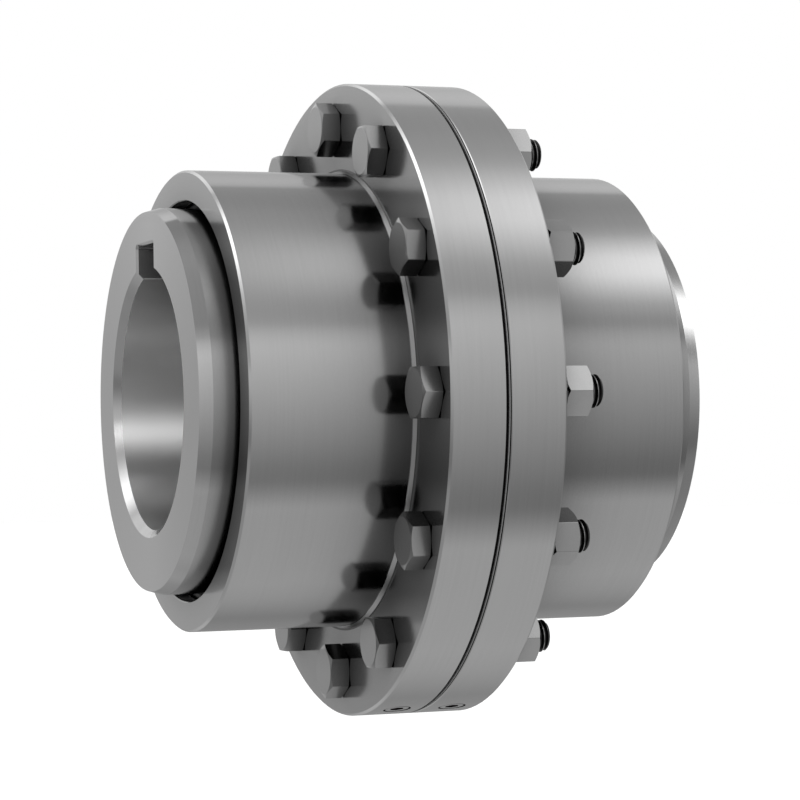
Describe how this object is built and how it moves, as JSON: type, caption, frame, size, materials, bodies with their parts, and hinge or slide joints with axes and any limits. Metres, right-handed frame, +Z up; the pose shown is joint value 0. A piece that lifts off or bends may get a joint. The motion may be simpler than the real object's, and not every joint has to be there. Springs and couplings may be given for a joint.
{
  "type": "gear coupling",
  "caption": "Flanged gear coupling: two keyed hubs with crowned teeth turn inside two internally toothed sleeves, whose flanges are bolted together over a gasket.",
  "frame": {"origin": "on the shaft axis, in the middle of the joint between the two flanges", "axes": "+X along the shaft axis, towards the side with the nuts; +Z up, through the middle of both keyways; -Y towards the viewer"},
  "size_m": [0.256, 0.3174, 0.3174],
  "materials": {
    "hub_steel": "turned and faced medium carbon steel, satin",
    "sleeve_steel": "turned and faced medium carbon steel, satin",
    "bolt_steel": "plain forged steel, finished bearing face",
    "nut_steel": "plain steel, machined faces",
    "washer_steel": "spring steel",
    "plug_steel": "plain steel",
    "seal_rubber": "moulded nitrile rubber",
    "gasket_fibre": "pressed fibre sheet"
  },
  "bodies": {
    "hub_a": {"hub_a": "hub_steel"},
    "seal_a": {"seal_ring_a": "seal_rubber"},
    "sleeves": {"sleeve_a": "sleeve_steel", "sleeve_b": "sleeve_steel", "gasket": "gasket_fibre", "bolt_01": "bolt_steel", "nut_01": "nut_steel", "lock_washer_01": "washer_steel", "bolt_02": "bolt_steel", "nut_02": "nut_steel", "lock_washer_02": "washer_steel", "bolt_03": "bolt_steel", "nut_03": "nut_steel", "lock_washer_03": "washer_steel", "bolt_04": "bolt_steel", "nut_04": "nut_steel", "lock_washer_04": "washer_steel", "bolt_05": "bolt_steel", "nut_05": "nut_steel", "lock_washer_05": "washer_steel", "bolt_06": "bolt_steel", "nut_06": "nut_steel", "lock_washer_06": "washer_steel", "bolt_07": "bolt_steel", "nut_07": "nut_steel", "lock_washer_07": "washer_steel", "bolt_08": "bolt_steel", "nut_08": "nut_steel", "lock_washer_08": "washer_steel", "bolt_09": "bolt_steel", "nut_09": "nut_steel", "lock_washer_09": "washer_steel", "bolt_10": "bolt_steel", "nut_10": "nut_steel", "lock_washer_10": "washer_steel", "bolt_11": "bolt_steel", "nut_11": "nut_steel", "lock_washer_11": "washer_steel", "bolt_12": "bolt_steel", "nut_12": "nut_steel", "lock_washer_12": "washer_steel", "lube_plug_01": "plug_steel", "lube_plug_02": "plug_steel", "lube_plug_03": "plug_steel", "lube_plug_04": "plug_steel"},
    "seal_b": {"seal_ring_b": "seal_rubber"},
    "hub_b": {"hub_b": "hub_steel"}
  },
  "joints": [
    {"name": "float_a", "type": "slide", "parent": "hub_a", "child": "seal_a", "axis": [1, 0, 0], "range_m": [-0.0015, 0.0015]},
    {"name": "tilt_a", "type": "hinge", "parent": "seal_a", "child": "sleeves", "pos_m": [-0.056, 0, 0], "axis": [0, 1, 0], "range_deg": [-0.75, 0.75]},
    {"name": "tilt_b", "type": "hinge", "parent": "sleeves", "child": "seal_b", "pos_m": [0.056, 0, 0], "axis": [0, 1, 0], "range_deg": [-0.75, 0.75]},
    {"name": "float_b", "type": "slide", "parent": "seal_b", "child": "hub_b", "axis": [1, 0, 0], "range_m": [-0.0015, 0.0015]}
  ]
}
